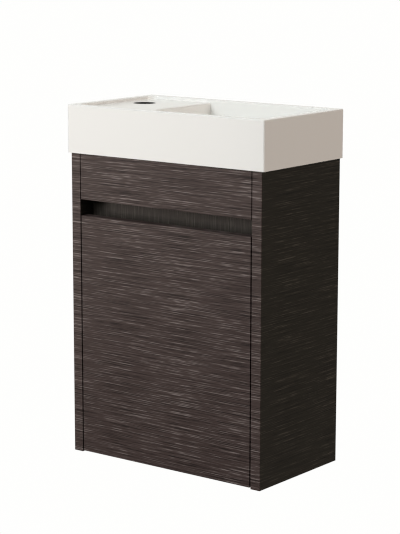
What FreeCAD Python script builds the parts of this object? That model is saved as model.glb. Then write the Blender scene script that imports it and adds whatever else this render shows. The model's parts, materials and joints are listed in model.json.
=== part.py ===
import FreeCAD, Part
import math
import os

Vector = FreeCAD.Vector

# Working values: how far a cut runs past a face, how close counts as the same place, and directions
overcut = 1.0
tolerance = 1e-6
forwards = Vector(0, -1, 0)
leftwards = Vector(-1, 0, 0)
rightwards = Vector(1, 0, 0)

# Basin, in millimetres
basin_width = 400.0
basin_depth = 220.0
basin_height = 80.0
basin_corner_radius = 2.5
rim_width = 12.0
rim_back_width = 14.0
rim_radius = 2.0
ledge_drop = 5.0
ledge_length = 128.0
ledge_thickness = 14.0
ledge_edge_radius = 3.0
bowl_depth = 60.0
bowl_corner_radius = 16.0
bowl_floor_radius = 12.0
bowl_floor_thickness = 14.0
dish_radius = 70.0
dish_fall = 4.0
waste_seat_width = 8.5
waste_hole_radius = 22.5
tap_hole_radius = 17.5
tap_hole_edge_radius = 3.0
tap_hole_from_left = 53.5
tap_hole_from_back = 84.0
skirt_width = 14.0
hollow_corner_radius = 6.0

# Carcass
side_overhang = 6.0
front_overhang = 2.5
cabinet_height = 510.0
board = 18.0
thin_board = 15.0
band = 0.8
band_edge_radius = 0.4
finger_recess_depth = 33.0
fascia_height = 76.5
fascia_gap = 1.4
batten_height = 40.0
recess_board_below_slot = 42.0
top_clearance = 4.0
rear_top_rail_height = 90.0
rear_bottom_rail_height = 80.0
fixing_drop = 45.0
fixing_spacing = 260.0
fixing_hole_radius = 4.0

# Shelf and its pins
shelf_height = 190.0
shelf_depth = 130.0
shelf_setback = 40.0
shelf_side_clearance = 0.2
shelf_pin_radius = 2.5
shelf_pin_depth = 8.0
shelf_pin_reach = 9.0
shelf_pin_collar_radius = 4.0
shelf_pin_collar = 0.8
shelf_pin_from_edge = 24.0
shelf_hole_pitch = 32.0
shelf_hole_steps = 2

# Door
door_gap = 2.2
door_bottom_gap = 2.0
slot_height = 27.0
door_thickness = 18.0

# Knock-down fittings
fit_clearance = 0.1
cam_radius = 7.5
cam_depth = 12.0
cam_backset = 24.0
cam_slot_width = 2.0
cam_slot_depth = 2.5
bolt_radius = 3.0
bolt_head_radius = 3.6
bolt_head_length = 3.0
bolt_thread_depth = 11.0
bolt_bore_clearance = 0.6
dowel_radius = 4.0
dowel_length = 30.0
joint_end_distance = 24.0
fascia_screw_count = 4
fascia_screw_end_distance = 40.0
fascia_screw_bite = 12.0

# Screws: head radius, head height, shank radius
wood_screw = (3.6, 2.2, 1.9)
small_screw = (3.0, 1.8, 1.6)
machine_screw = (3.6, 2.4, 2.0)
screw_head_edge_radius = 0.7
drive_width = 1.0
drive_length = 3.6
drive_depth = 1.2

# Concealed hinges
hinge_end_distance = 85.0
cup_radius = 17.5
cup_tab = 3.0
cup_depth = 12.5
cup_wall = 1.0
cup_floor = 0.9
flange_thickness = 1.2
flange_radius = 19.5
flange_edge_margin = 2.5
flange_ear_reach = 29.0
flange_ear_width = 11.0
flange_corner_radius = 3.0
cup_screw_offset = 9.5
cup_screw_spacing = 45.0
cup_screw_length = 11.0
pin_depth = 9.0
pin_radius = 1.25
pin_running_clearance = 0.1
pin_length = 15.0
lug_gap = 4.0
lug_thickness = 3.0
lug_radius = 3.0
arm_half_thickness = 1.5
arm_half_width = 3.6
arm_eye_radius = 2.3
arm_limb_offset = 14.2
arm_crook_run = 10.0
arm_crook_rise = 2.0
arm_limb_start = 7.0
arm_bend = 3.6
arm_bridge_clearance = 1.1
arm_tail_height = 9.0
arm_tail_bend = 5.0
arm_tail_length = 38.0
arm_tail_half_width = 7.0
arm_cheek_thickness = 1.5
arm_cheek_gap = 0.6
arm_screw_end_distance = 8.0
plate_thickness = 2.0
plate_half_height = 22.0
plate_wing_width = 16.0
plate_corner_radius = 4.0
plate_block_clearance = 0.3
plate_screw_spacing = 32.0
plate_screw_length = 12.0

# Magnetic catch
catch_drop = 75.0
catch_width = 16.0
catch_length = 40.0
catch_depth = 13.0
catch_ear_length = 10.0
catch_ear_thickness = 2.5
catch_edge_radius = 1.2
catch_screw_length = 11.0
magnet_width = 10.0
magnet_length = 28.0
magnet_proud = 0.5
catch_air_gap = 0.3
strike_thickness = 1.2
strike_width = 11.0
strike_length = 38.0
strike_corner_radius = 1.5
strike_screw_spacing = 24.0
strike_screw_length = 11.0

# Planes and levels that follow from the sizes above
half_basin = basin_width / 2
half_cabinet = half_basin - side_overhang
inner_x = half_cabinet - board
front_y = front_overhang - basin_depth
basin_top = cabinet_height + basin_height
ledge_z = basin_top - ledge_drop
bowl_floor_z = basin_top - bowl_depth
bowl_side_x = half_basin - rim_width
ledge_edge_x = ledge_length - bowl_side_x
bowl_front_y = rim_width - basin_depth
waste_x = (ledge_edge_x + bowl_side_x) / 2
waste_y = (bowl_front_y - rim_back_width) / 2
tap_x = tap_hole_from_left - half_basin
tap_y = -tap_hole_from_back
fascia_bottom = cabinet_height - fascia_height
door_top = fascia_bottom - slot_height
door_bottom = door_bottom_gap
half_door = inner_x - door_gap
half_fascia = inner_x - fascia_gap
door_back_y = front_y + door_thickness
recess_front_y = front_y + finger_recess_depth
recess_back_y = recess_front_y + thin_board
recess_bottom = door_top - recess_board_below_slot
recess_top = cabinet_height - top_clearance
fixing_z = cabinet_height - fixing_drop
batten_middle_z = fascia_bottom + batten_height / 2
shelf_front_y = front_y + shelf_setback
shelf_back_y = shelf_front_y + shelf_depth
half_shelf = inner_x - shelf_pin_collar - shelf_side_clearance
shelf_pin_z = shelf_height - shelf_pin_radius
shelf_pin_ys = (shelf_front_y + shelf_pin_from_edge, shelf_back_y - shelf_pin_from_edge)
hinge_heights = {"upper": door_top - hinge_end_distance, "lower": door_bottom + hinge_end_distance}
pin_x = -half_door + cup_tab + cup_radius
pin_y = front_y + pin_depth
edge_sweep = math.hypot(pin_x + half_door, max(pin_depth, door_thickness - pin_depth))
bridge_y = pin_y + edge_sweep + arm_bridge_clearance + arm_half_thickness
limb_x = pin_x + arm_limb_offset
tail_x = -inner_x + arm_tail_height
tail_front_y = bridge_y + arm_tail_bend
tail_back_y = tail_front_y + arm_tail_length
plate_middle_y = (tail_front_y + tail_back_y) / 2
catch_z = door_top - catch_drop
catch_front_y = door_back_y + strike_thickness + catch_air_gap
magnet_x = inner_x - catch_width / 2


def block(x, y, z):
    corner = Vector(x[0], y[0], z[0])
    return Part.makeBox(x[1] - x[0], y[1] - y[0], z[1] - z[0], corner)


def rod(radius, start, end):
    axis = end - start
    return Part.makeCylinder(radius, axis.Length, start, axis)


def span(first, second):
    return (min(first, second), max(first, second))


def around(middle, half):
    return (middle - half, middle + half)


def round_edges(shape, radius, wanted):
    return shape.makeFillet(radius, [edge for edge in shape.Edges if wanted(edge)])


def runs_along(edge, axis):
    box = edge.BoundBox
    lengths = {"x": box.XLength, "y": box.YLength, "z": box.ZLength}
    return lengths[axis] > sum(lengths.values()) - tolerance


def is_upright(edge):
    return runs_along(edge, "z")


def is_level(edge, height):
    return abs(edge.BoundBox.ZMin - height) < tolerance and abs(edge.BoundBox.ZMax - height) < tolerance


def screw(sizes, length, seat, direction):
    # Pan-head screw with a cross slot, its head standing on the seat
    head_radius, head_height, shank_radius = sizes
    head = Part.makeCylinder(head_radius, head_height)
    head = round_edges(head, screw_head_edge_radius, lambda e: is_level(e, head_height))
    body = head.fuse(Part.makeCylinder(shank_radius, length, Vector(0, 0, 0), Vector(0, 0, -1)))
    slot_z = (head_height - drive_depth, head_height + overcut)
    long_way = around(0, drive_length / 2)
    short_way = around(0, drive_width / 2)
    body = body.cut([block(long_way, short_way, slot_z), block(short_way, long_way, slot_z)])
    body.Placement = FreeCAD.Placement(seat, FreeCAD.Rotation(Vector(0, 0, -1), direction))
    return body


def screw_hole(sizes, length, seat, direction):
    return Part.makeCylinder(sizes[2] + fit_clearance, length + fit_clearance, seat, direction)


# Basin: one casting with a sunk tap ledge on the left and the bowl on the right
def make_basin():
    shell = block((-half_basin, half_basin), (-basin_depth, 0), (cabinet_height, basin_top))
    shell = round_edges(shell, basin_corner_radius, is_upright)
    inside_y = (bowl_front_y, -rim_back_width)
    above = basin_top + overcut
    pocket = block((-bowl_side_x, bowl_side_x), inside_y, (ledge_z, above))
    pocket = round_edges(pocket, bowl_corner_radius, is_upright)
    bowl = block((ledge_edge_x, bowl_side_x), inside_y, (bowl_floor_z, above))
    bowl = round_edges(bowl, bowl_corner_radius, lambda e: is_upright(e) and e.BoundBox.XMin > waste_x)
    bowl = round_edges(bowl, bowl_floor_radius, lambda e: is_level(e, bowl_floor_z))
    basin = shell.cut(pocket.fuse(bowl)).removeSplitter()
    basin = round_edges(basin, rim_radius, lambda e: is_level(e, basin_top))
    beside_ledge = ledge_edge_x - tolerance
    basin = round_edges(
        basin, ledge_edge_radius, lambda e: is_level(e, ledge_z) and e.BoundBox.XMin > beside_ledge
    )
    hollow_y = (skirt_width - basin_depth, -skirt_width)
    ledge_hollow_x = (skirt_width - half_basin, ledge_edge_x - ledge_thickness)
    ledge_hollow = block(ledge_hollow_x, hollow_y, (cabinet_height - overcut, ledge_z - ledge_thickness))
    ledge_hollow = round_edges(ledge_hollow, hollow_corner_radius, is_upright)
    bowl_hollow_x = around(0, half_basin - skirt_width)
    bowl_hollow_z = (cabinet_height - overcut, bowl_floor_z - bowl_floor_thickness)
    bowl_hollow = block(bowl_hollow_x, hollow_y, bowl_hollow_z)
    bowl_hollow = round_edges(bowl_hollow, hollow_corner_radius, is_upright)
    basin = basin.cut([ledge_hollow, bowl_hollow])
    dish_z = bowl_floor_z - dish_fall
    seat_radius = waste_hole_radius + waste_seat_width
    dish = Part.makeCone(seat_radius, dish_radius, dish_fall, Vector(waste_x, waste_y, dish_z))
    waste = rod(waste_hole_radius, Vector(waste_x, waste_y, cabinet_height), Vector(waste_x, waste_y, above))
    tap = rod(tap_hole_radius, Vector(tap_x, tap_y, cabinet_height), Vector(tap_x, tap_y, above))
    basin = basin.cut([dish, waste, tap]).removeSplitter()
    tap_centre = Vector(tap_x, tap_y, ledge_z)
    return round_edges(
        basin,
        tap_hole_edge_radius,
        lambda e: is_level(e, ledge_z) and (e.BoundBox.Center - tap_centre).Length < tap_hole_radius / 2,
    )


# Cam joints: where the bolt runs, the face that its cam is let into, and the way the cam goes in
def cam_sites():
    mid = board / 2
    recess_mid_y = recess_front_y + thin_board / 2
    sites = []
    for y in (recess_front_y + joint_end_distance + board, -joint_end_distance - board):
        sites.append((y, mid, Vector(0, y, 0), Vector(0, 0, 1)))
    for z in (cabinet_height - joint_end_distance, board + rear_bottom_rail_height - joint_end_distance):
        sites.append((-mid, z, Vector(0, -board, z), Vector(0, 1, 0)))
    recess_z = recess_bottom + joint_end_distance * 2
    sites.append((recess_mid_y, recess_z, Vector(0, recess_back_y, recess_z), Vector(0, -1, 0)))
    return sites


def dowel_sites():
    mid = board / 2
    recess_mid_y = recess_front_y + thin_board / 2
    return [
        (recess_front_y / 2, mid),
        (-mid, cabinet_height - rear_top_rail_height + joint_end_distance),
        (-mid, board + joint_end_distance),
        (recess_mid_y, recess_bottom + joint_end_distance),
        (recess_mid_y, recess_top - joint_end_distance),
    ]


def cam_axis(side, face_point):
    return Vector(side * (inner_x - cam_backset), face_point.y, face_point.z)


def make_cam_disc(side, y, z, face_point, inward):
    start = cam_axis(side, face_point)
    disc = Part.makeCylinder(cam_radius, cam_depth, start, inward)
    middle_x = side * (inner_x - cam_backset)
    cavity_start = Vector(middle_x - side * bolt_head_length, y, z)
    cavity = rod(bolt_head_radius + fit_clearance, cavity_start, Vector(side * inner_x, y, z))
    slot = block(around(0, cam_slot_width / 2), around(0, 2 * cam_radius), around(0, cam_slot_depth))
    slot.rotate(Vector(0, 0, 0), Vector(1, 0, 0), 90 * inward.y)
    slot.translate(start)
    return disc.cut([cavity, slot])


def make_cam_bolt(side, y, z):
    middle_x = side * (inner_x - cam_backset)
    head_end = Vector(middle_x - side * bolt_head_length / 2, y, z)
    head_start = Vector(middle_x + side * bolt_head_length / 2, y, z)
    tip = Vector(side * (inner_x + bolt_thread_depth), y, z)
    shank = rod(bolt_radius, head_start, tip)
    return shank.fuse(rod(bolt_head_radius, head_end, head_start)).removeSplitter()


def cam_bores(side, y, z, face_point, inward):
    # Bores in a rail or the bottom: the cam pocket and the bolt's way in from the end
    start = cam_axis(side, face_point)
    pocket = Part.makeCylinder(cam_radius + fit_clearance, cam_depth + fit_clearance, start, inward)
    way_radius = bolt_head_radius + bolt_bore_clearance
    way_end = Vector(start.x - side * bolt_head_length, y, z)
    way = rod(way_radius, way_end, Vector(side * (inner_x + overcut), y, z))
    return [pocket, way]


def bolt_socket(side, y, z):
    end = inner_x + bolt_thread_depth + fit_clearance
    return rod(bolt_radius + fit_clearance, Vector(side * inner_x, y, z), Vector(side * end, y, z))


def make_dowel(side, y, z, clearance=0.0):
    reach = dowel_length / 2 + clearance
    start = Vector(side * (inner_x - reach), y, z)
    return rod(dowel_radius + clearance, start, Vector(side * (inner_x + reach), y, z))


def joint_bores():
    bores = []
    for side in (-1, 1):
        for site in cam_sites():
            bores += cam_bores(side, *site)
        for y, z in dowel_sites():
            bores.append(make_dowel(side, y, z, fit_clearance))
    return bores


def touching(shape, cutters):
    return [cutter for cutter in cutters if shape.BoundBox.intersect(cutter.BoundBox)]


def drilled(shape, cutters):
    near = touching(shape, cutters)
    return shape.cut(near).removeSplitter() if near else shape


# Boards of the carcass
def side_bores(side):
    bores = [bolt_socket(side, y, z) for y, z, face_point, inward in cam_sites()]
    bores += [make_dowel(side, y, z, fit_clearance) for y, z in dowel_sites()]
    for y in shelf_pin_ys:
        for step in range(-shelf_hole_steps, shelf_hole_steps + 1):
            z = shelf_pin_z + step * shelf_hole_pitch
            start = Vector(side * inner_x, y, z)
            end = Vector(side * (inner_x + shelf_pin_depth + fit_clearance), y, z)
            bores.append(rod(shelf_pin_radius + fit_clearance, start, end))
    if side < 0:
        for seat in plate_screw_seats():
            wall_seat = Vector(-inner_x, seat.y, seat.z)
            bores.append(screw_hole(wood_screw, plate_screw_length, wall_seat, leftwards))
    else:
        for seat in catch_screw_seats():
            wall_seat = Vector(inner_x, seat.y, seat.z)
            bores.append(screw_hole(small_screw, catch_screw_length, wall_seat, rightwards))
    return bores


def make_side_panel(side):
    panel = block(span(side * inner_x, side * half_cabinet), (front_y + band, 0), (0, cabinet_height))
    return panel.cut(side_bores(side)).removeSplitter()


def make_front_band(x, y, z, long_axis):
    strip = block(x, (y, y + band), z)
    return round_edges(
        strip, band_edge_radius, lambda e: abs(e.BoundBox.YMax - y) < tolerance and runs_along(e, long_axis)
    )


def make_side_bands():
    strips = []
    for side in (-1, 1):
        x = span(side * inner_x, side * half_cabinet)
        strips.append(make_front_band(x, front_y, (0, cabinet_height), "z"))
    return Part.makeCompound(strips)


def make_bottom_panel(bores):
    panel = block(around(0, inner_x), (recess_front_y + band, 0), (0, board))
    return drilled(panel, bores)


def make_bottom_band():
    return make_front_band(around(0, inner_x), recess_front_y, (0, board), "x")


def make_rear_top_rail(bores):
    rail = block(around(0, inner_x), (-board, 0), (cabinet_height - rear_top_rail_height, cabinet_height))
    holes = []
    for side in (-1, 1):
        x = side * fixing_spacing / 2
        near_end = Vector(x, -board - overcut, fixing_z)
        holes.append(rod(fixing_hole_radius, near_end, Vector(x, overcut, fixing_z)))
    return drilled(rail, bores).cut(holes).removeSplitter()


def make_rear_bottom_rail(bores):
    rail = block(around(0, inner_x), (-board, 0), (board, board + rear_bottom_rail_height))
    return drilled(rail, bores)


def make_recess_board(bores):
    panel = block(around(0, inner_x), (recess_front_y, recess_back_y), (recess_bottom + band, recess_top))
    return drilled(panel, bores + fascia_screw_holes())


def make_recess_band():
    strip = block(around(0, inner_x), (recess_front_y, recess_back_y), (recess_bottom, recess_bottom + band))
    return round_edges(strip, band_edge_radius, lambda e: is_level(e, recess_bottom) and runs_along(e, "x"))


def make_fascia():
    x = around(0, half_fascia - band)
    panel = block(x, (front_y, door_back_y), (fascia_bottom + band, cabinet_height))
    return drilled(panel, fascia_screw_holes())


def make_fascia_bands():
    thickness = (front_y, door_back_y)
    lower = block(around(0, half_fascia - band), thickness, (fascia_bottom, fascia_bottom + band))
    lower = round_edges(lower, band_edge_radius, lambda e: is_level(e, fascia_bottom) and runs_along(e, "x"))
    strips = [lower]
    for side in (-1, 1):
        x = span(side * (half_fascia - band), side * half_fascia)
        strips.append(make_upright_band(x, thickness, (fascia_bottom, cabinet_height), side * half_fascia))
    return Part.makeCompound(strips)


def make_upright_band(x, y, z, outer_x):
    strip = block(x, y, z)
    return round_edges(
        strip, band_edge_radius, lambda e: is_upright(e) and abs(e.BoundBox.Center.x - outer_x) < tolerance
    )


def make_packing_batten():
    z = (fascia_bottom, fascia_bottom + batten_height)
    batten = block(around(0, half_fascia), (door_back_y, recess_front_y), z)
    return drilled(batten, fascia_screw_holes())


def fascia_screw_seats():
    reach = half_fascia - fascia_screw_end_distance
    step = 2 * reach / (fascia_screw_count - 1)
    return [Vector(-reach + i * step, recess_back_y, batten_middle_z) for i in range(fascia_screw_count)]


def fascia_screw_length():
    return recess_back_y - door_back_y + fascia_screw_bite


def fascia_screw_holes():
    length = fascia_screw_length()
    return [screw_hole(wood_screw, length, seat, forwards) for seat in fascia_screw_seats()]


def make_fascia_screws():
    length = fascia_screw_length()
    return Part.makeCompound([screw(wood_screw, length, seat, forwards) for seat in fascia_screw_seats()])


def make_shelf():
    z = (shelf_height, shelf_height + thin_board)
    return block(around(0, half_shelf), (shelf_front_y + band, shelf_back_y), z)


def make_shelf_band():
    z = (shelf_height, shelf_height + thin_board)
    return make_front_band(around(0, half_shelf), shelf_front_y, z, "x")


def make_shelf_pins():
    pins = []
    for side in (-1, 1):
        for y in shelf_pin_ys:
            socket_end = Vector(side * (inner_x + shelf_pin_depth), y, shelf_pin_z)
            face = Vector(side * inner_x, y, shelf_pin_z)
            collar_end = Vector(side * (inner_x - shelf_pin_collar), y, shelf_pin_z)
            tip = Vector(side * (inner_x - shelf_pin_reach), y, shelf_pin_z)
            collar = rod(shelf_pin_collar_radius, face, collar_end)
            pins.append(rod(shelf_pin_radius, socket_end, tip).fuse(collar).removeSplitter())
    return Part.makeCompound(pins)


# Hinge fixed to the left side: plate, gooseneck arm and their screws
def plate_screw_seats():
    x = -inner_x + plate_thickness
    seats = []
    for height in hinge_heights.values():
        for end in (-1, 1):
            seats.append(Vector(x, plate_middle_y, height + end * plate_screw_spacing / 2))
    return seats


def arm_screw_seats(height):
    x = tail_x + arm_half_thickness
    ends = (tail_front_y + arm_screw_end_distance, tail_back_y - arm_screw_end_distance)
    return [Vector(x, y, height) for y in ends]


def arm_screw_length():
    return arm_tail_height + arm_half_thickness - plate_thickness


def arm_screw_holes(height):
    length = arm_screw_length()
    return [screw_hole(machine_screw, length, seat, leftwards) for seat in arm_screw_seats(height)]


def make_mounting_plate(height):
    wing_z = around(height, plate_half_height)
    wing = block((-inner_x, plate_thickness - inner_x), around(plate_middle_y, plate_wing_width / 2), wing_z)
    wing = round_edges(wing, plate_corner_radius, lambda e: runs_along(e, "x"))
    half = arm_tail_half_width - arm_cheek_thickness - plate_block_clearance
    rib_y = (tail_front_y, tail_back_y)
    rib = block((-inner_x, tail_x - arm_half_thickness), rib_y, around(height, half))
    plate = wing.fuse(rib).removeSplitter()
    wing_holes = [screw_hole(wood_screw, plate_screw_length, seat, leftwards) for seat in plate_screw_seats()]
    return plate.cut(arm_screw_holes(height) + wing_holes).removeSplitter()


def arm_route():
    # Centre line of the gooseneck from the pin, round the edge of the open door, to the tail
    return [
        (pin_x, pin_y),
        (pin_x + arm_crook_run, pin_y + arm_crook_rise),
        (limb_x, pin_y + arm_limb_start),
        (limb_x, bridge_y - arm_bend),
        (limb_x - arm_bend, bridge_y),
        (tail_x + arm_tail_bend, bridge_y),
        (tail_x, tail_front_y),
    ]


def arm_link(start, end, half_width, height):
    length = math.hypot(end[0] - start[0], end[1] - start[1])
    angle = math.degrees(math.atan2(end[1] - start[1], end[0] - start[0]))
    link = block((0, length), around(0, arm_half_thickness), around(0, half_width))
    tall = 2 * half_width
    ends = [Part.makeCylinder(arm_half_thickness, tall, Vector(x, 0, -half_width)) for x in (0, length)]
    link = link.fuse(ends)
    link.Placement = FreeCAD.Placement(
        Vector(start[0], start[1], height), FreeCAD.Rotation(Vector(0, 0, 1), angle)
    )
    return link


def make_hinge_arm(height):
    route = arm_route()
    links = [arm_link(start, end, arm_half_width, height) for start, end in zip(route, route[1:])]
    low = Vector(pin_x, pin_y, height - arm_half_width)
    eye = Part.makeCylinder(arm_eye_radius, 2 * arm_half_width, low)
    tail_x_span = around(tail_x, arm_half_thickness)
    tail = block(tail_x_span, (tail_front_y, tail_back_y), around(height, arm_tail_half_width))
    cheeks = []
    for end in (-1, 1):
        outer = height + end * arm_tail_half_width
        z = span(outer, outer - end * arm_cheek_thickness)
        cheek_x = (plate_thickness + arm_cheek_gap - inner_x, tail_x)
        cheeks.append(block(cheek_x, (tail_front_y, tail_back_y), z))
    arm = eye.fuse(links + [tail] + cheeks).removeSplitter()
    bore = Part.makeCylinder(pin_radius + pin_running_clearance, 2 * arm_half_width, low)
    return arm.cut([bore] + arm_screw_holes(height)).removeSplitter()


def make_plate_screws():
    length = plate_screw_length + plate_thickness
    return Part.makeCompound([screw(wood_screw, length, seat, leftwards) for seat in plate_screw_seats()])


def make_arm_screws():
    screws = []
    for height in hinge_heights.values():
        for seat in arm_screw_seats(height):
            screws.append(screw(machine_screw, arm_screw_length(), seat, leftwards))
    return Part.makeCompound(screws)


# Hinge cup let into the back of the door, with its pin
def cup_screw_seats(height):
    y = door_back_y + flange_thickness
    x = pin_x + cup_screw_offset
    return [Vector(x, y, height + end * cup_screw_spacing / 2) for end in (-1, 1)]


def cup_screw_holes(height):
    return [screw_hole(small_screw, cup_screw_length, seat, forwards) for seat in cup_screw_seats(height)]


def make_hinge_cup(height):
    rear = door_back_y + flange_thickness
    body = Part.makeCylinder(cup_radius, cup_depth, Vector(pin_x, door_back_y, height), forwards)
    flange = Part.makeCylinder(flange_radius, flange_thickness, Vector(pin_x, rear, height), forwards)
    ear_x = around(pin_x + cup_screw_offset, flange_ear_width / 2)
    ear = block(ear_x, (door_back_y, rear), around(height, flange_ear_reach))
    ear = round_edges(ear, flange_corner_radius, lambda e: runs_along(e, "y"))
    floor_y = door_back_y - cup_depth + cup_floor
    inside = rod(cup_radius - cup_wall, Vector(pin_x, floor_y, height), Vector(pin_x, rear + overcut, height))
    trim_x = (-half_cabinet, flange_edge_margin - half_door)
    outside = block(trim_x, (door_back_y, rear + overcut), around(height, flange_ear_reach))
    cup = body.fuse([flange, ear]).cut([inside, outside])
    for end in (-1, 1):
        z = span(height + end * lug_gap, height + end * (lug_gap + lug_thickness))
        foot = block(around(pin_x, lug_radius), (floor_y - cup_floor / 2, pin_y), z)
        crown = rod(lug_radius, Vector(pin_x, pin_y, z[0]), Vector(pin_x, pin_y, z[1]))
        cup = cup.fuse(foot.fuse(crown))
    return cup.cut([make_hinge_pin(height)] + cup_screw_holes(height)).removeSplitter()


def make_hinge_pin(height):
    low, high = around(height, pin_length / 2)
    return rod(pin_radius, Vector(pin_x, pin_y, low), Vector(pin_x, pin_y, high))


def make_hinge_pins():
    return Part.makeCompound([make_hinge_pin(height) for height in hinge_heights.values()])


def make_cup_screws():
    screws = []
    for height in hinge_heights.values():
        for seat in cup_screw_seats(height):
            screws.append(screw(small_screw, cup_screw_length, seat, forwards))
    return Part.makeCompound(screws)


# Magnetic catch on the right side and its strike plate on the door
def catch_screw_seats():
    y = catch_front_y + magnet_proud + catch_depth / 2
    reach = catch_length / 2 + catch_ear_length / 2
    return [Vector(inner_x - catch_ear_thickness, y, catch_z + end * reach) for end in (-1, 1)]


def magnet_space(clearance=0.0):
    x = around(magnet_x, magnet_width / 2 + clearance)
    y = (catch_front_y, catch_front_y + magnet_proud + catch_depth / 2 + clearance)
    return block(x, y, around(catch_z, magnet_length / 2 + clearance))


def make_catch_housing():
    y = (catch_front_y + magnet_proud, catch_front_y + magnet_proud + catch_depth)
    body = block((inner_x - catch_width, inner_x), y, around(catch_z, catch_length / 2))
    inner_face_x = inner_x - catch_width
    body = round_edges(body, catch_edge_radius, lambda e: abs(e.BoundBox.XMax - inner_face_x) < tolerance)
    ear_z = around(catch_z, catch_length / 2 + catch_ear_length)
    ears = block((inner_x - catch_ear_thickness, inner_x), y, ear_z)
    holes = [screw_hole(small_screw, catch_screw_length, seat, rightwards) for seat in catch_screw_seats()]
    return body.fuse(ears).cut([magnet_space(fit_clearance)] + holes).removeSplitter()


def make_catch_screws():
    length = catch_screw_length + catch_ear_thickness
    return Part.makeCompound([screw(small_screw, length, seat, rightwards) for seat in catch_screw_seats()])


def strike_screw_seats():
    y = door_back_y + strike_thickness
    return [Vector(magnet_x, y, catch_z + end * strike_screw_spacing / 2) for end in (-1, 1)]


def flush_screw(seat):
    # Countersunk screw, its head level with the plate
    head_radius, head_height, shank_radius = small_screw
    head = Part.makeCone(head_radius, shank_radius, strike_thickness, seat, forwards)
    return head.fuse(Part.makeCylinder(shank_radius, strike_screw_length, seat, forwards)).removeSplitter()


def make_strike_plate():
    y = (door_back_y, door_back_y + strike_thickness)
    plate = block(around(magnet_x, strike_width / 2), y, around(catch_z, strike_length / 2))
    plate = round_edges(plate, strike_corner_radius, lambda e: runs_along(e, "y"))
    return plate.cut([flush_screw(seat) for seat in strike_screw_seats()])


def make_strike_screws():
    return Part.makeCompound([flush_screw(seat) for seat in strike_screw_seats()])


# Door
def door_bores():
    bores = []
    for height in hinge_heights.values():
        mouth = Vector(pin_x, door_back_y, height)
        pocket_depth = cup_depth + fit_clearance
        bores.append(Part.makeCylinder(cup_radius + fit_clearance, pocket_depth, mouth, forwards))
        bores += cup_screw_holes(height)
    bores += [screw_hole(small_screw, strike_screw_length, seat, forwards) for seat in strike_screw_seats()]
    return bores


def make_door_panel():
    z = (door_bottom + band, door_top - band)
    panel = block(around(0, half_door - band), (front_y, door_back_y), z)
    return panel.cut(door_bores()).removeSplitter()


def make_door_bands():
    thickness = (front_y, door_back_y)
    strips = []
    for side in (-1, 1):
        x = span(side * (half_door - band), side * half_door)
        strips.append(make_upright_band(x, thickness, (door_bottom, door_top), side * half_door))
    for outer, inner in ((door_bottom, door_bottom + band), (door_top, door_top - band)):
        strip = block(around(0, half_door - band), thickness, span(outer, inner))
        strip = round_edges(strip, band_edge_radius, lambda e: is_level(e, outer) and runs_along(e, "x"))
        strips.append(strip)
    return Part.makeCompound(strips)


def make_all():
    bores = joint_bores()
    sides = (-1, 1)
    cams = [make_cam_disc(side, *site) for side in sides for site in cam_sites()]
    bolts = [make_cam_bolt(side, y, z) for side in sides for y, z, face_point, inward in cam_sites()]
    dowels = [make_dowel(side, y, z) for side in sides for y, z in dowel_sites()]
    nodes = {
        "basin": make_basin(),
        "left_side_panel": make_side_panel(-1),
        "right_side_panel": make_side_panel(1),
        "side_edge_bands": make_side_bands(),
        "bottom_panel": make_bottom_panel(bores),
        "bottom_panel_edge_band": make_bottom_band(),
        "rear_top_rail": make_rear_top_rail(bores),
        "rear_bottom_rail": make_rear_bottom_rail(bores),
        "finger_recess_board": make_recess_board(bores),
        "recess_board_edge_band": make_recess_band(),
        "front_fascia": make_fascia(),
        "fascia_edge_bands": make_fascia_bands(),
        "fascia_packing_batten": make_packing_batten(),
        "fascia_screws": make_fascia_screws(),
        "cam_discs": Part.makeCompound(cams),
        "cam_bolts": Part.makeCompound(bolts),
        "wood_dowels": Part.makeCompound(dowels),
        "shelf": make_shelf(),
        "shelf_edge_band": make_shelf_band(),
        "shelf_pins": make_shelf_pins(),
        "hinge_plate_screws": make_plate_screws(),
        "hinge_arm_screws": make_arm_screws(),
        "magnetic_catch_housing": make_catch_housing(),
        "catch_magnet": magnet_space(),
        "catch_screws": make_catch_screws(),
        "door_panel": make_door_panel(),
        "door_edge_bands": make_door_bands(),
        "hinge_pins": make_hinge_pins(),
        "hinge_cup_screws": make_cup_screws(),
        "catch_strike_plate": make_strike_plate(),
        "strike_plate_screws": make_strike_screws(),
    }
    for place, height in hinge_heights.items():
        nodes[place + "_hinge_mounting_plate"] = make_mounting_plate(height)
        nodes[place + "_hinge_arm"] = make_hinge_arm(height)
        nodes[place + "_hinge_cup"] = make_hinge_cup(height)
    return nodes


# The origin lies on the wall, midway between the two fixing holes
os.makedirs("parts", exist_ok=True)
for name, shape in make_all().items():
    shape.translate(Vector(0, 0, -fixing_z))
    shape.exportStep("parts/" + name + ".step")
    state = "valid" if shape.isValid() else "not valid"
    print(name, len(shape.Solids), "solids", round(shape.Volume), "mm3", state)
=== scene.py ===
import json
import math

import bmesh
import bpy
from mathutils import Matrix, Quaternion, Vector


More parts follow.
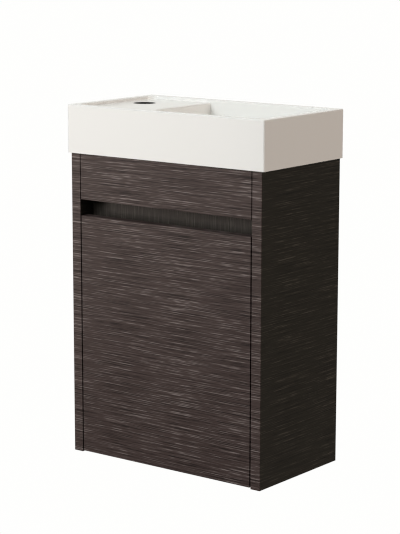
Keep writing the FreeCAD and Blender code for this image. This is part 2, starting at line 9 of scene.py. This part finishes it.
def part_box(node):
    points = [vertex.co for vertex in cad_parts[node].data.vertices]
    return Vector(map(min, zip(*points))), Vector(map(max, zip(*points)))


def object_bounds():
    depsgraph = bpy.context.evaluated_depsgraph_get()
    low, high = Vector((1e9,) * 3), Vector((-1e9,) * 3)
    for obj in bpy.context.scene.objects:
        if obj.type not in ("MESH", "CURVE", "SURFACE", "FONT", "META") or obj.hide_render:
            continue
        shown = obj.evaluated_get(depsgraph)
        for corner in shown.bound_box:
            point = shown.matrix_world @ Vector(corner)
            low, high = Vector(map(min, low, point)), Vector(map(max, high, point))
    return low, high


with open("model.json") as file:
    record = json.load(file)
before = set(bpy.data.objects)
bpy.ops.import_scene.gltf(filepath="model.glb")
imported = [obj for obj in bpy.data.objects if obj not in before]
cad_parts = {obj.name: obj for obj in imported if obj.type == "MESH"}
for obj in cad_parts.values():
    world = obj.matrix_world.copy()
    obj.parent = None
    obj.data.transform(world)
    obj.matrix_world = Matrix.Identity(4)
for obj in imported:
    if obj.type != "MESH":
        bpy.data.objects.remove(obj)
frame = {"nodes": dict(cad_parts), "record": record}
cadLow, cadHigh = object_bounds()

nodes = frame["nodes"]
scene = bpy.context.scene


# small helpers for building shader trees

def put(tree, kind, inputs=None, **settings):
    node = tree.nodes.new(kind)
    for name, value in settings.items():
        setattr(node, name, value)
    for key, value in (inputs or {}).items():
        plug(tree, node.inputs[key], value)
    return node


def plug(tree, socket, value):
    if isinstance(value, bpy.types.NodeSocket):
        tree.links.new(value, socket)
    else:
        socket.default_value = value


def maths(tree, operation, a, b):
    return put(tree, "ShaderNodeMath", {0: a, 1: b}, operation=operation).outputs[0]


def remap(tree, value, low, high, toLow=0.0, toHigh=1.0, curve="SMOOTHSTEP"):
    inputs = {"Value": value, "From Min": low, "From Max": high, "To Min": toLow, "To Max": toHigh}
    return put(tree, "ShaderNodeMapRange", inputs, interpolation_type=curve).outputs["Result"]


def mixColour(tree, amount, first, second):
    return put(tree, "ShaderNodeMix", {0: amount, 6: first, 7: second}, data_type="RGBA").outputs[2]


def stretched(tree, vector, scale):
    return put(tree, "ShaderNodeVectorMath", {0: vector, 1: scale}, operation="MULTIPLY").outputs[0]


def noise(tree, vector, scale, detail, roughness=0.5):
    inputs = {"Vector": vector, "Scale": scale, "Detail": detail, "Roughness": roughness}
    return put(tree, "ShaderNodeTexNoise", inputs).outputs["Fac"]


def newGroup(name, inputs, outputs):
    group = bpy.data.node_groups.new(name, "ShaderNodeTree")
    for socketName, kind, value in inputs:
        socket = group.interface.new_socket(socketName, in_out="INPUT", socket_type=kind)
        if value is not None:
            socket.default_value = value
    for socketName, kind in outputs:
        group.interface.new_socket(socketName, in_out="OUTPUT", socket_type=kind)
    return group, group.nodes.new("NodeGroupInput").outputs, group.nodes.new("NodeGroupOutput").inputs


def useGroup(tree, group, inputs):
    node = tree.nodes.new("ShaderNodeGroup")
    node.node_tree = group
    for key, value in inputs.items():
        plug(tree, node.inputs[key], value)
    return node.outputs


def newFinish(name, constants):
    material = bpy.data.materials.new(name)
    material.use_nodes = True
    tree = material.node_tree
    shader = tree.nodes["Principled BSDF"]
    for socketName, value in constants.items():
        shader.inputs[socketName].default_value = value
    place = tree.nodes.new("ShaderNodeTexCoord").outputs["Object"]
    return material, tree, shader.inputs, place


def bumped(tree, shader, height, strength, distance):
    inputs = {"Height": height, "Strength": strength, "Distance": distance}
    plug(tree, shader["Normal"], put(tree, "ShaderNodeBump", inputs).outputs["Normal"])


# effects that several finishes share

floatKind, colourKind, vectorKind = "NodeSocketFloat", "NodeSocketColor", "NodeSocketVector"

printShape = {
    "wander": 11.0,  # how fast the streaks sway, per metre
    "fineShare": 0.6,
    "hairShare": 0.4,
    "hairSize": (0.6, 0.7),  # length and width, as shares of a streak's
    "breakSize": (0.17, 1.9),  # patches in which streaks fade in and out
    "breakRange": (0.3, 0.7),
    "breakForce": (0.4, 1.6),
    "darkSwing": -0.2,  # swing at which a streak is fully dark
    "paleSwing": 0.26,  # and fully pale
    "paleCurve": 1.5,
    "fineRange": (0.25, 0.75),
    "roughness": (0.44, 0.34),  # on dark and on pale streaks
}


def makeGrainGroup():
    # wood-print streaks: X and Y run along the grain, Z across it, all in metres
    group, given, out = newGroup(
        "wood print",
        [
            ("Vector", vectorKind, None),
            ("Dark", colourKind, None),
            ("Middle", colourKind, None),
            ("Pale", colourKind, None),
            ("Streak Length", floatKind, 0.04),
            ("Streak Width", floatKind, 0.001),
            ("Waviness", floatKind, 0.003),
            ("Contrast", floatKind, 1.0),
        ],
        [("Color", colourKind), ("Roughness", floatKind), ("Height", floatKind)],
    )
    place = put(group, "ShaderNodeSeparateXYZ", {0: given["Vector"]}).outputs
    sway = maths(group, "SUBTRACT", noise(group, given["Vector"], printShape["wander"], 1.0), 0.5)
    along = maths(group, "ADD", place[0], place[1])
    across = maths(group, "ADD", place[2], maths(group, "MULTIPLY", sway, given["Waviness"]))

    def streaks(length, width):
        u = maths(group, "DIVIDE", along, maths(group, "MULTIPLY", given["Streak Length"], length))
        v = maths(group, "DIVIDE", across, maths(group, "MULTIPLY", given["Streak Width"], width))
        flat = put(group, "ShaderNodeCombineXYZ", {0: u, 1: v}).outputs[0]
        inputs = {"Vector": flat, "Scale": 1.0, "Detail": 0.0}
        return put(group, "ShaderNodeTexNoise", inputs, noise_dimensions="2D").outputs["Fac"]

    fine = streaks(1.0, 1.0)
    hairs = maths(group, "MULTIPLY", streaks(*printShape["hairSize"]), printShape["hairShare"])
    grains = maths(group, "ADD", maths(group, "MULTIPLY", fine, printShape["fineShare"]), hairs)
    patches = streaks(*printShape["breakSize"])
    breaks = remap(group, patches, *printShape["breakRange"], *printShape["breakForce"])
    force = maths(group, "MULTIPLY", breaks, given["Contrast"])
    swing = maths(group, "MULTIPLY", maths(group, "SUBTRACT", grains, 0.5), force)
    rise = remap(group, swing, printShape["darkSwing"], 0.0, curve="LINEAR")
    lift = remap(group, swing, 0.0, printShape["paleSwing"], curve="LINEAR")
    lift = maths(group, "POWER", lift, printShape["paleCurve"])
    low = mixColour(group, rise, given["Dark"], given["Middle"])
    plug(group, out["Color"], mixColour(group, lift, low, given["Pale"]))
    plug(group, out["Roughness"], remap(group, fine, *printShape["fineRange"], *printShape["roughness"]))
    plug(group, out["Height"], grains)
    return group


chipShape = {
    "dustScale": 3.0,  # dust grains to a chip
    "dustNoise": (3.0, 0.7),  # detail and roughness
    "shadeRange": (0.25, 0.75),
}


def makeChipGroup():
    # pressed wood chips, as at a sawn edge or in a drilled hole
    group, given, out = newGroup(
        "pressed chips",
        [
            ("Vector", vectorKind, None),
            ("Chip Size", floatKind, 0.003),
            ("Dark", colourKind, None),
            ("Pale", colourKind, None),
        ],
        [("Color", colourKind), ("Height", floatKind)],
    )
    density = maths(group, "DIVIDE", 1.0, given["Chip Size"])
    inputs = {"Vector": given["Vector"], "Scale": density, "Randomness": 1.0}
    cells = put(group, "ShaderNodeTexVoronoi", inputs).outputs
    chip = put(group, "ShaderNodeSeparateColor", {0: cells["Color"]}).outputs[0]
    dustDensity = maths(group, "MULTIPLY", density, chipShape["dustScale"])
    dust = noise(group, given["Vector"], dustDensity, *chipShape["dustNoise"])
    shade = maths(group, "MULTIPLY", maths(group, "ADD", chip, dust), 0.5)
    amount = remap(group, shade, *chipShape["shadeRange"])
    plug(group, out["Color"], mixColour(group, amount, given["Dark"], given["Pale"]))
    plug(group, out["Height"], maths(group, "SUBTRACT", dust, cells["Distance"]))
    return group


unevenShape = {
    "slowNoise": (3.0, 0.55),  # detail and roughness
    "fineNoise": (2.0, 0.5),
    "patchRange": (0.3, 0.7),
    "patchShare": 0.7,
    "fineShare": 0.3,
}


def makeUnevenGroup():
    # slow and fine unevenness of a smooth surface, for its gloss and its relief
    group, given, out = newGroup(
        "unevenness",
        [
            ("Vector", vectorKind, None),
            ("Patch Size", floatKind, 0.08),
            ("Fine Size", floatKind, 0.002),
            ("Low", floatKind, 0.2),
            ("High", floatKind, 0.35),
        ],
        [("Roughness", floatKind), ("Mask", floatKind), ("Height", floatKind)],
    )
    slowDensity = maths(group, "DIVIDE", 1.0, given["Patch Size"])
    fineDensity = maths(group, "DIVIDE", 1.0, given["Fine Size"])
    slow = noise(group, given["Vector"], slowDensity, *unevenShape["slowNoise"])
    fine = noise(group, given["Vector"], fineDensity, *unevenShape["fineNoise"])
    mask = remap(group, slow, *unevenShape["patchRange"])
    patchPart = maths(group, "MULTIPLY", mask, unevenShape["patchShare"])
    finePart = maths(group, "MULTIPLY", fine, unevenShape["fineShare"])
    reach = maths(group, "SUBTRACT", given["High"], given["Low"])
    rise = maths(group, "MULTIPLY", reach, maths(group, "ADD", patchPart, finePart))
    plug(group, out["Roughness"], maths(group, "ADD", given["Low"], rise))
    plug(group, out["Mask"], mask)
    plug(group, out["Height"], fine)
    return group


woodPrint = makeGrainGroup()
pressedChips = makeChipGroup()
unevenness = makeUnevenGroup()
print("shared effects built")


# wood-print laminate and the chipboard under it

printLooks = {
    "front": {
        "dark": (0.008, 0.0036, 0.0030, 1),
        "middle": (0.0485, 0.0308, 0.0280, 1),
        "pale": (0.215, 0.178, 0.168, 1),
        "contrast": 0.77,
    },
    "carcass": {
        "dark": (0.010, 0.0090, 0.0064, 1),
        "middle": (0.0212, 0.0192, 0.0142, 1),
        "pale": (0.082, 0.074, 0.061, 1),
        "contrast": 0.62,
    },
    # the front print lightened, as painted sheen on the side panels' front edges
    "stile": {
        "dark": (0.010, 0.0045, 0.0036, 1),
        "middle": (0.0565, 0.0370, 0.0336, 1),
        "pale": (0.230, 0.190, 0.180, 1),
        "contrast": 0.77,
    },
    "recess": {
        "dark": (0.014, 0.0122, 0.0096, 1),
        "middle": (0.029, 0.0243, 0.0197, 1),
        "pale": (0.112, 0.098, 0.083, 1),
        "contrast": 0.72,
    },
}
laminateLook = {
    "streakLength": 0.12,
    "streakWidth": 0.0013,
    "waviness": 0.0006,
    "emboss": 0.2,
    "embossDepth": 0.0003,
    "specular": 0.3,
}
coreLook = {
    "dark": (0.23, 0.15, 0.085, 1),
    "pale": (0.48, 0.35, 0.22, 1),
    "chipSize": 0.0019,
    "skin": 0.00015,  # thickness of the laminate that shows at a sawn edge
    "roughness": 0.9,
}
# how the print is turned so that its Z runs across the grain
grainTurns = {
    "level": (0.0, 0.0, 0.0),
    "flat": (math.pi / 2, 0.0, 0.0),
    "upright": (0.0, math.pi / 2, 0.0),
}


def addLaminate(tree, place, grain, lookName):
    look = printLooks[lookName]
    turned = put(tree, "ShaderNodeMapping", {"Vector": place, "Rotation": grainTurns[grain]}).outputs[0]
    return useGroup(
        tree,
        woodPrint,
        {
            "Vector": turned,
            "Dark": look["dark"],
            "Middle": look["middle"],
            "Pale": look["pale"],
            "Streak Length": laminateLook["streakLength"],
            "Streak Width": laminateLook["streakWidth"],
            "Waviness": laminateLook["waviness"],
            "Contrast": look["contrast"],
        },
    )


def addCore(tree, place):
    return useGroup(
        tree,
        pressedChips,
        {
            "Vector": place,
            "Chip Size": coreLook["chipSize"],
            "Dark": coreLook["dark"],
            "Pale": coreLook["pale"],
        },
    )


def newLaminate(name):
    return newFinish(name, {"Specular IOR Level": laminateLook["specular"]})


def makeEdging(nodeName, grain, lookName):
    material, tree, shader, place = newLaminate("edging " + nodeName)
    laminate = addLaminate(tree, place, grain, lookName)
    plug(tree, shader["Base Color"], laminate["Color"])
    plug(tree, shader["Roughness"], laminate["Roughness"])
    bumped(tree, shader, laminate["Height"], laminateLook["emboss"], laminateLook["embossDepth"])
    return material


def makeBoard(nodeName, grain, facedAxes, lookName):
    # laminate on the board's faces, bare chips at sawn edges and in bores
    low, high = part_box(nodeName)
    material, tree, shader, place = newLaminate("board " + nodeName)
    laminate = addLaminate(tree, place, grain, lookName)
    core = addCore(tree, place)
    parts = put(tree, "ShaderNodeSeparateXYZ", {0: place}).outputs
    faced = 0.0
    for axis in facedAxes:
        for face in (low["xyz".index(axis)], high["xyz".index(axis)]):
            inputs = {0: parts["xyz".index(axis)], 1: face, 2: coreLook["skin"]}
            onFace = put(tree, "ShaderNodeMath", inputs, operation="COMPARE").outputs[0]
            faced = maths(tree, "MAXIMUM", onFace, faced)
    coreRoughness = maths(tree, "SUBTRACT", coreLook["roughness"], faced)
    height = put(tree, "ShaderNodeMix", {0: faced, 2: core["Height"], 3: laminate["Height"]}).outputs[0]
    plug(tree, shader["Base Color"], mixColour(tree, faced, core["Color"], laminate["Color"]))
    plug(tree, shader["Roughness"], maths(tree, "MAXIMUM", laminate["Roughness"], coreRoughness))
    bumped(tree, shader, height, laminateLook["emboss"], laminateLook["embossDepth"])
    return material


# node: grain direction, the axes whose faces are laminated, which print
boards = {
    "left_side_panel": ("level", "xz", "carcass"),
    "right_side_panel": ("level", "xz", "carcass"),
    "bottom_panel": ("flat", "z", "carcass"),
    "rear_top_rail": ("level", "yz", "carcass"),
    "rear_bottom_rail": ("level", "yz", "carcass"),
    "finger_recess_board": ("upright", "y", "recess"),
    "front_fascia": ("level", "y", "front"),
    "shelf": ("flat", "z", "carcass"),
    "door_panel": ("level", "y", "front"),
}
# node: grain direction, which print
edgings = {
    # side edge bands wear the front print lightened as painted sheen
    "side_edge_bands": ("level", "stile"),
    "bottom_panel_edge_band": ("level", "carcass"),
    "recess_board_edge_band": ("upright", "recess"),
    "fascia_edge_bands": ("level", "front"),
    "shelf_edge_band": ("level", "carcass"),
    "door_edge_bands": ("level", "front"),
}


def wear(nodeName, material):
    for slot in nodes[nodeName].material_slots:
        slot.material = material


for nodeName, values in boards.items():
    wear(nodeName, makeBoard(nodeName, *values))
for nodeName, values in edgings.items():
    wear(nodeName, makeEdging(nodeName, *values))
print("boards and edgings finished:", len(boards) + len(edgings))


# white basin: glossy glaze, bare clay on its underside, a rough tap hole whose near-black colour is
# painted shade

glazeLook = {
    "colour": (0.885, 0.885, 0.860, 1),
    "shade": (0.884, 0.884, 0.857, 1),
    "clay": (0.72, 0.67, 0.59, 1),
    # near-black painted shade for the tap hole's wall
    "bore": (0.012, 0.011, 0.010, 1),
    "specular": 0.5,
    "patchSize": 0.09,
    "fineSize": 0.004,
    "roughLow": 0.135,
    "roughHigh": 0.150,
    "roughBare": 0.85,
    "relief": 0.01,
    "reliefDepth": 0.0002,
    "bareFacing": (-0.75, -0.95),  # how far a face looks down before it is bare
    "ledgeDrop": 0.005,  # tap ledge below the rim
    "lip": 0.003,  # rounding of the tap hole's edge
    "boreBelowLedge": (0.0001, 0.0006),  # depths below the ledge between which the glaze fades to the near-black painted shade of the hole's wall
}


def inTapHole(tree, place):
    # 1 on the wall of the tap hole, fading to 0 at the top of its rounded lip: where the hole is painted
    # near-black as shade
    mount = next(item for item in frame["record"]["mounts"] if item["name"] == "tap_hole")
    centre = (mount["pos_m"][0], mount["pos_m"][1], 0)
    radius = mount["dims"]["r_mm"] / 1000
    flat = stretched(tree, place, (1, 1, 0))
    away = put(tree, "ShaderNodeVectorMath", {0: flat, 1: centre}, operation="DISTANCE").outputs["Value"]
    near = maths(tree, "LESS_THAN", away, radius + glazeLook["lip"])
    ledge = cadHigh.z - glazeLook["ledgeDrop"]
    top, bottom = glazeLook["boreBelowLedge"]
    height = put(tree, "ShaderNodeSeparateXYZ", {0: place}).outputs[2]
    return maths(tree, "MULTIPLY", near, remap(tree, height, ledge - top, ledge - bottom))


def addUnevenness(tree, place, look):
    return useGroup(
        tree,
        unevenness,
        {
            "Vector": place,
            "Patch Size": look["patchSize"],
            "Fine Size": look["fineSize"],
            "Low": look["roughLow"],
            "High": look["roughHigh"],
        },
    )


def makeGlaze():
    constants = {"Specular IOR Level": glazeLook["specular"]}
    material, tree, shader, place = newFinish("white glaze", constants)
    skin = addUnevenness(tree, place, glazeLook)
    facing = put(tree, "ShaderNodeTexCoord").outputs["Normal"]
    upward = put(tree, "ShaderNodeSeparateXYZ", {0: facing}).outputs[2]
    bare = remap(tree, upward, *glazeLook["bareFacing"])
    hole = inTapHole(tree, place)
    colour = mixColour(tree, skin["Mask"], glazeLook["colour"], glazeLook["shade"])
    colour = mixColour(tree, bare, colour, glazeLook["clay"])
    dull = maths(tree, "MULTIPLY", maths(tree, "MAXIMUM", bare, hole), glazeLook["roughBare"])
    # the tap hole's wall gets bare roughness, and its near-black colour is painted shade
    plug(tree, shader["Base Color"], mixColour(tree, hole, colour, glazeLook["bore"]))
    plug(tree, shader["Roughness"], maths(tree, "MAXIMUM", skin["Roughness"], dull))
    bumped(tree, shader, skin["Height"], glazeLook["relief"], glazeLook["reliefDepth"])
    return material


wear("basin", makeGlaze())
print("basin glazed")


# fittings

fittingLooks = {
    "plated steel": {
        "colour": (0.66, 0.65, 0.63, 1),
        "dull": (0.50, 0.49, 0.47, 1),
        "metallic": 1.0,
        "patchSize": 0.012,
        "fineSize": 0.0004,
        "roughLow": 0.22,
        "roughHigh": 0.42,
        "relief": 0.12,
    },
    "cast zinc": {
        "colour": (0.52, 0.52, 0.52, 1),
        "dull": (0.36, 0.36, 0.365, 1),
        "metallic": 1.0,
        "patchSize": 0.006,
        "fineSize": 0.0006,
        "roughLow": 0.42,
        "roughHigh": 0.62,
        "relief": 0.3,
    },
    "brown plastic": {
        "colour": (0.075, 0.047, 0.033, 1),
        "dull": (0.055, 0.034, 0.024, 1),
        "metallic": 0.0,
        "patchSize": 0.01,
        "fineSize": 0.0005,
        "roughLow": 0.4,
        "roughHigh": 0.55,
        "relief": 0.2,
    },
    "ferrite": {
        "colour": (0.055, 0.055, 0.057, 1),
        "dull": (0.03, 0.03, 0.032, 1),
        "metallic": 0.0,
        "patchSize": 0.005,
        "fineSize": 0.0005,
        "roughLow": 0.55,
        "roughHigh": 0.75,
        "relief": 0.3,
    },
}
fittingReliefDepth = 0.0001
beechLook = {
    "dark": (0.40, 0.25, 0.13, 1),
    "pale": (0.60, 0.43, 0.26, 1),
    "fibreDensity": (60.0, 1400.0, 1400.0),  # along the dowel, then across it
    "fibreDetail": 3.0,
    "fibreRange": (0.35, 0.65),
    "roughness": 0.6,
    "relief": 0.3,
    "reliefDepth": 0.0002,
}
chipboardLook = {"roughness": 0.85, "relief": 0.4, "reliefDepth": 0.0004}


def makeFitting(name):
    look = fittingLooks[name]
    material, tree, shader, place = newFinish(name, {"Metallic": look["metallic"]})
    skin = addUnevenness(tree, place, look)
    plug(tree, shader["Base Color"], mixColour(tree, skin["Mask"], look["colour"], look["dull"]))
    plug(tree, shader["Roughness"], skin["Roughness"])
    bumped(tree, shader, skin["Height"], look["relief"], fittingReliefDepth)
    return material


def makeBeech():
    material, tree, shader, place = newFinish("beech", {"Roughness": beechLook["roughness"]})
    drawn = stretched(tree, place, beechLook["fibreDensity"])
    fibres = noise(tree, drawn, 1.0, beechLook["fibreDetail"])
    amount = remap(tree, fibres, *beechLook["fibreRange"])
    plug(tree, shader["Base Color"], mixColour(tree, amount, beechLook["dark"], beechLook["pale"]))
    bumped(tree, shader, fibres, beechLook["relief"], beechLook["reliefDepth"])
    return material


def makeChipboard():
    material, tree, shader, place = newFinish("bare chipboard", {"Roughness": chipboardLook["roughness"]})
    core = addCore(tree, place)
    plug(tree, shader["Base Color"], core["Color"])
    bumped(tree, shader, core["Height"], chipboardLook["relief"], chipboardLook["reliefDepth"])
    return material


finishes = {name: makeFitting(name) for name in fittingLooks}
finishes["beech"] = makeBeech()
finishes["bare chipboard"] = makeChipboard()
fittings = {
    "plated steel": [
        "fascia_screws",
        "cam_bolts",
        "shelf_pins",
        "upper_hinge_mounting_plate",
        "lower_hinge_mounting_plate",
        "hinge_plate_screws",
        "upper_hinge_arm",
        "lower_hinge_arm",
        "hinge_arm_screws",
        "catch_screws",
        "upper_hinge_cup",
        "lower_hinge_cup",
        "hinge_pins",
        "hinge_cup_screws",
        "catch_strike_plate",
        "strike_plate_screws",
    ],
    "cast zinc": ["cam_discs"],
    "brown plastic": ["magnetic_catch_housing"],
    "ferrite": ["catch_magnet"],
    "beech": ["wood_dowels"],
    "bare chipboard": ["fascia_packing_batten"],
}
for finishName, nodeNames in fittings.items():
    for nodeName in nodeNames:
        wear(nodeName, finishes[finishName])
print("fittings finished:", sum(len(names) for names in fittings.values()))


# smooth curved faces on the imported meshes, with flat faces left flat

smoothing = {"merge": 0.000004, "sharpAngle": math.radians(28), "flatWeight": 100}


def makeSmoothing():
    tree = bpy.data.node_groups.new("smooth curves", "GeometryNodeTree")
    tree.interface.new_socket("Geometry", in_out="INPUT", socket_type="NodeSocketGeometry")
    tree.interface.new_socket("Geometry", in_out="OUTPUT", socket_type="NodeSocketGeometry")
    start = tree.nodes.new("NodeGroupInput").outputs["Geometry"]
    inputs = {"Geometry": start, "Distance": smoothing["merge"]}
    merged = put(tree, "GeometryNodeMergeByDistance", inputs).outputs[0]
    inputs = {"Geometry": merged, "Shade Smooth": True}
    smooth = put(tree, "GeometryNodeSetShadeSmooth", inputs, domain="FACE").outputs[0]
    angle = put(tree, "GeometryNodeInputMeshEdgeAngle").outputs["Unsigned Angle"]
    inputs = {0: angle, 1: smoothing["sharpAngle"]}
    sharp = put(tree, "FunctionNodeCompare", inputs, operation="GREATER_THAN").outputs[0]
    inputs = {"Geometry": smooth, "Selection": sharp, "Shade Smooth": False}
    creased = put(tree, "GeometryNodeSetShadeSmooth", inputs, domain="EDGE").outputs[0]
    plug(tree, tree.nodes.new("NodeGroupOutput").inputs["Geometry"], creased)
    return tree


smoothCurves = makeSmoothing()
for node in nodes.values():
    node.modifiers.new("smooth curves", "NODES").node_group = smoothCurves
    weighted = node.modifiers.new("flat faces", "WEIGHTED_NORMAL")
    weighted.keep_sharp = True
    weighted.weight = smoothing["flatWeight"]
print("curves smoothed")


# studio: pale floor, soft light, the photograph's camera

studio = {
    "rimHeight": 0.85,  # basin rim above the floor when the unit hangs on its wall
    "floorSize": 160.0,
    "floorCells": 8,
    "floorPale": (0.20, 0.19, 0.18, 1),
    "backdrop": (0.995, 0.995, 0.985, 1),
    "ambient": (1.0, 1.0, 1.0, 1),
    "ambientStrength": 0.17,
    "glow": (1.0, 0.985, 0.925, 1),
    "glowStrength": 0.88,
    "glowFrom": (-0.60, 0.76, 0.25),  # pale backdrop, behind and to the left
    "glowReach": (0.35, 0.85),
}
softboxes = {
    "key": {"place": (-0.8, -3.0, 1.6), "size": 1.8, "power": 78.5, "colour": (0.957, 0.99, 1.0)},
    "lowFront": {"place": (-2.4, -2.6, -0.2), "size": 1.6, "power": 23.0, "colour": (1.0, 0.856, 0.764)},
    "rightFill": {"place": (3.0, 0.1, 0.8), "size": 1.4, "power": 33.6, "colour": (1.0, 0.843, 0.734)},
    "overhead": {"place": (0.1, 0.2, 2.4), "size": 1.8, "power": 7.2, "colour": (1.0, 0.985, 1.0)},
}
photoCamera = {
    "place": (1.8548, -2.5355, 0.4281),
    "yaw": -0.6549,
    "pitch": -0.1845,
    "roll": 0.0012,
    "lens": 126.26,
    "clipEnd": 400.0,
    "filterWidth": 1.2,  # pixels
}


def splitForCamera(tree, lit, shown):
    # the camera sees an even pale ground, everything else sees the lit one
    cameraRay = put(tree, "ShaderNodeLightPath").outputs["Is Camera Ray"]
    return put(tree, "ShaderNodeMixShader", {0: cameraRay, 1: lit, 2: shown}).outputs[0]


def makeFloor():
    bm = bmesh.new()
    cells = studio["floorCells"]
    bmesh.ops.create_grid(bm, x_segments=cells, y_segments=cells, size=studio["floorSize"] / 2)
    bmesh.ops.translate(bm, verts=bm.verts, vec=(0, 0, cadHigh.z - studio["rimHeight"]))
    mesh = bpy.data.meshes.new("floor")
    bm.to_mesh(mesh)
    bm.free()
    floor = bpy.data.objects.new("floor", mesh)
    scene.collection.objects.link(floor)
    material = bpy.data.materials.new("pale floor")
    material.use_nodes = True
    tree = material.node_tree
    tree.nodes.clear()
    lit = put(tree, "ShaderNodeBsdfDiffuse", {"Color": studio["floorPale"]}).outputs[0]
    shown = put(tree, "ShaderNodeEmission", {"Color": studio["backdrop"]}).outputs[0]
    put(tree, "ShaderNodeOutputMaterial", {"Surface": splitForCamera(tree, lit, shown)})
    mesh.materials.append(material)


def makeWorld():
    world = bpy.data.worlds.new("studio air")
    scene.world = world
    world.use_nodes = True
    tree = world.node_tree
    tree.nodes.clear()
    outward = put(tree, "ShaderNodeTexCoord").outputs["Generated"]
    inputs = {0: outward, 1: studio["glowFrom"]}
    behind = put(tree, "ShaderNodeVectorMath", inputs, operation="DOT_PRODUCT").outputs["Value"]
    amount = remap(tree, behind, *studio["glowReach"])
    inputs = {
        "Color": mixColour(tree, amount, studio["ambient"], studio["glow"]),
        "Strength": remap(tree, amount, 0.0, 1.0, studio["ambientStrength"], studio["glowStrength"]),
    }
    lit = put(tree, "ShaderNodeBackground", inputs).outputs[0]
    shown = put(tree, "ShaderNodeBackground", {"Color": studio["backdrop"]}).outputs[0]
    put(tree, "ShaderNodeOutputWorld", {"Surface": splitForCamera(tree, lit, shown)})


def makeSoftbox(name, values):
    light = bpy.data.lights.new(name, "AREA")
    light.shape = "SQUARE"
    light.size = values["size"]
    light.energy = values["power"]
    light.color = values["colour"]
    softbox = bpy.data.objects.new(name, light)
    scene.collection.objects.link(softbox)
    softbox.location = values["place"]
    aim = (cadLow + cadHigh) / 2 - Vector(values["place"])
    softbox.rotation_euler = aim.to_track_quat("-Z", "Y").to_euler()


def makeCamera():
    camera = bpy.data.objects.new("photo camera", bpy.data.cameras.new("photo camera"))
    scene.collection.objects.link(camera)
    yaw, pitch = photoCamera["yaw"], photoCamera["pitch"]
    look = Vector((math.sin(yaw) * math.cos(pitch), math.cos(yaw) * math.cos(pitch), math.sin(pitch)))
    tilt = Quaternion((0, 0, 1), photoCamera["roll"])
    camera.location = photoCamera["place"]
    camera.rotation_euler = (look.to_track_quat("-Z", "Y") @ tilt).to_euler()
    camera.data.lens = photoCamera["lens"]
    camera.data.clip_end = photoCamera["clipEnd"]
    scene.camera = camera


makeFloor()
makeWorld()
for name, values in softboxes.items():
    makeSoftbox(name, values)
makeCamera()
scene.view_settings.view_transform = "Standard"
scene.cycles.filter_width = photoCamera["filterWidth"]
print("studio set")
